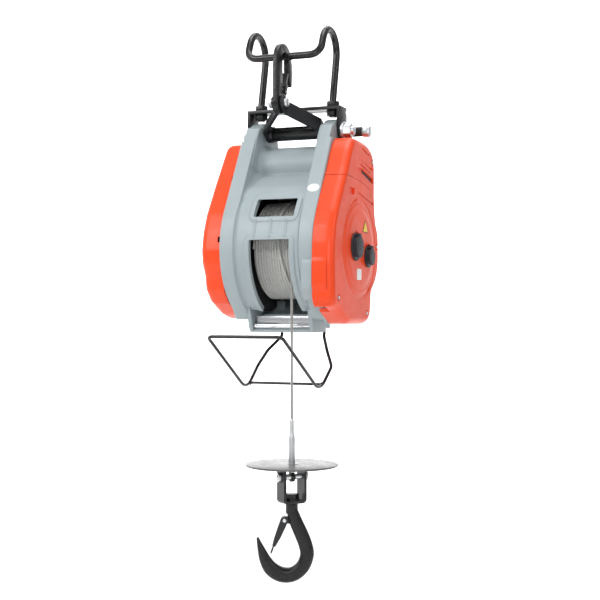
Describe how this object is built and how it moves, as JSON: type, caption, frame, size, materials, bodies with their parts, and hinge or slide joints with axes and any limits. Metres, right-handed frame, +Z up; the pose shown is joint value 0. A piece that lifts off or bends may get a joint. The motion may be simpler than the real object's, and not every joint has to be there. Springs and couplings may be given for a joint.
{
  "type": "electric wire rope hoist",
  "caption": "Electric wire rope hoist hung from a scaffold tube, with geared drum, hinged limit frame, stop disc and swivel hook.",
  "frame": {"origin": "centre of the scaffold tube where it lies in the hanger's two crowns", "axes": "+X along the tube and the drum axis, towards the socket side; +Y to the back, away from the rope; +Z up"},
  "size_m": [0.274, 0.347, 1.0063],
  "materials": {
    "black_steel": "satin black paint over forged steel",
    "black_plate": "satin black paint",
    "zinc_steel": "bright zinc plate",
    "bright_steel": "turned steel",
    "chrome_bar": "polished",
    "grey_casting": "die cast, painted light grey, satin",
    "alu_casting": "as cast and turned",
    "orange_cover": "glossy moulded",
    "wire_rope": "galvanised stranded wire",
    "black_wire": "black powder coat",
    "dark_plastic": "fine moulded texture",
    "black_rubber": "matt",
    "brass_part": "machined",
    "copper_coil": "enamelled winding",
    "board_green": "circuit board",
    "label_white": "blank sticker",
    "lamination": "stacked sheet steel"
  },
  "bodies": {
    "hanger": {"hanger_rod": "black_steel", "hanger_nuts": "black_plate", "hanger_bracket": "black_plate", "carry_bolt": "zinc_steel", "carry_nut": "zinc_steel", "spacer_tube": "black_steel"},
    "yoke": {"yoke_arm_left": "black_plate", "yoke_arm_right": "black_plate", "yoke_bolt": "zinc_steel"},
    "safety_hook": {"safety_hook": "black_steel", "safety_latch_pin": "zinc_steel"},
    "safety_latch": {"safety_latch": "black_plate"},
    "hoist": {"drum_frame": "grey_casting", "ear_bushes": "brass_part", "tie_bolt": "zinc_steel", "tie_sleeve": "black_rubber", "left_cover": "orange_cover", "right_cover_lower": "orange_cover", "right_cover_upper": "orange_cover", "cover_screws": "zinc_steel", "vent_grille": "dark_plastic", "labels": "label_white", "gear_plate": "alu_casting", "gear_plate_studs": "bright_steel", "motor_stator": "copper_coil", "rotor_bearings": "bright_steel", "brake_coil": "copper_coil", "drum_bearings": "bright_steel", "control_board": "board_green", "board_parts": "dark_plastic", "radio_receiver": "dark_plastic", "outlet_guide": "bright_steel", "power_socket": "dark_plastic", "control_socket": "dark_plastic", "outlet_pin": "zinc_steel", "limit_pins": "zinc_steel", "limit_switch": "dark_plastic", "hoist_rope": "wire_rope"},
    "drum": {"drum": "alu_casting", "drum_shaft": "bright_steel", "rope_winding": "wire_rope", "rope_clamp": "dark_plastic", "drum_gear": "bright_steel"},
    "idler": {"idler_gear": "bright_steel", "idler_shaft": "bright_steel"},
    "rotor": {"motor_rotor": "lamination", "rotor_shaft": "bright_steel", "motor_pinion": "bright_steel", "cooling_fan": "dark_plastic"},
    "brake_armature": {"brake_armature": "bright_steel"},
    "outlet_roller": {"outlet_roller": "chrome_bar"},
    "limit_frame": {"limit_frame": "black_wire"},
    "power_cap": {"power_cap": "dark_plastic"},
    "control_cap": {"control_cap": "dark_plastic"},
    "hook_block": {"rope_ferrule": "zinc_steel", "stop_disc": "black_plate", "clevis": "black_plate", "clevis_bolt": "zinc_steel"},
    "load_hook": {"load_hook": "black_steel"},
    "hook_latch": {"hook_latch": "black_plate"}
  },
  "joints": [
    {"name": "hoist_swing", "type": "hinge", "parent": "hanger", "child": "hoist", "pos_m": [0, 0.016, -0.154], "axis": [1, 0, 0], "range_deg": [-8, 8]},
    {"name": "yoke_tilt", "type": "hinge", "parent": "hanger", "child": "yoke", "pos_m": [0, 0.016, -0.154], "axis": [1, 0, 0], "range_deg": [-1, 0]},
    {"name": "safety_hook_tilt", "type": "hinge", "parent": "yoke", "child": "safety_hook", "pos_m": [0, -0.06788, -0.1094], "axis": [1, 0, 0], "range_deg": [-1, 1]},
    {"name": "safety_latch_hinge", "type": "hinge", "parent": "safety_hook", "child": "safety_latch", "pos_m": [0, -0.052, -0.088], "axis": [1, 0, 0], "range_deg": [0, 24], "stiffness_Nm_per_rad": 0.05, "springref_deg": -20.05},
    {"name": "drum_spin", "type": "hinge", "parent": "hoist", "child": "drum", "pos_m": [0, -0.004, -0.375], "axis": [-1, 0, 0], "range_deg": [0, 72]},
    {"name": "idler_spin", "type": "hinge", "parent": "hoist", "child": "idler", "pos_m": [0, 0.01883, -0.28794], "axis": [-1, 0, 0], "range_deg": [-290, 1]},
    {"name": "rotor_spin", "type": "hinge", "parent": "hoist", "child": "rotor", "pos_m": [0, 0.016, -0.218], "axis": [-1, 0, 0], "range_deg": [-2, 1156]},
    {"name": "hook_lift", "type": "slide", "parent": "hoist", "child": "hook_block", "axis": [0, 0, 1], "range_m": [-0.0005, 0.1168], "deforming": ["hoist_rope"]},
    {"name": "brake_release", "type": "slide", "parent": "hoist", "child": "brake_armature", "axis": [-1, 0, 0], "range_m": [0, 0.0006], "stiffness_N_per_m": 8000, "springref_m": -0.002},
    {"name": "roller_spin", "type": "hinge", "parent": "hoist", "child": "outlet_roller", "pos_m": [0, -0.054, -0.513], "axis": [1, 0, 0], "continuous": true},
    {"name": "limit_frame_hinge", "type": "hinge", "parent": "hoist", "child": "limit_frame", "pos_m": [0, 0.053, -0.511], "axis": [1, 0, 0], "range_deg": [-15, 0]},
    {"name": "power_cap_hinge", "type": "hinge", "parent": "hoist", "child": "power_cap", "pos_m": [0.1395, -0.029, -0.3495], "axis": [0, 1, 0], "range_deg": [-110, 0], "stiffness_Nm_per_rad": 0.02, "springref_deg": 28.65},
    {"name": "control_cap_hinge", "type": "hinge", "parent": "hoist", "child": "control_cap", "pos_m": [0.1395, 0.041, -0.3685], "axis": [0, 1, 0], "range_deg": [-110, 0], "stiffness_Nm_per_rad": 0.02, "springref_deg": 28.65},
    {"name": "hook_swivel", "type": "hinge", "parent": "hook_block", "child": "load_hook", "pos_m": [0.036, -0.0965, -0.835], "axis": [0, 0, 1], "continuous": true},
    {"name": "hook_latch_hinge", "type": "hinge", "parent": "load_hook", "child": "hook_latch", "pos_m": [0.02395, -0.10137, -0.8576], "axis": [-0.3746, 0.9272, 0], "range_deg": [-28, 0], "stiffness_Nm_per_rad": 0.06, "springref_deg": 22.92}
  ],
  "couplings": [
    {"joint": "hook_lift", "follows": "drum_spin", "m_per_rad": 0.0925},
    {"joint": "idler_spin", "follows": "drum_spin", "ratio": -4},
    {"joint": "rotor_spin", "follows": "drum_spin", "ratio": 16}
  ]
}
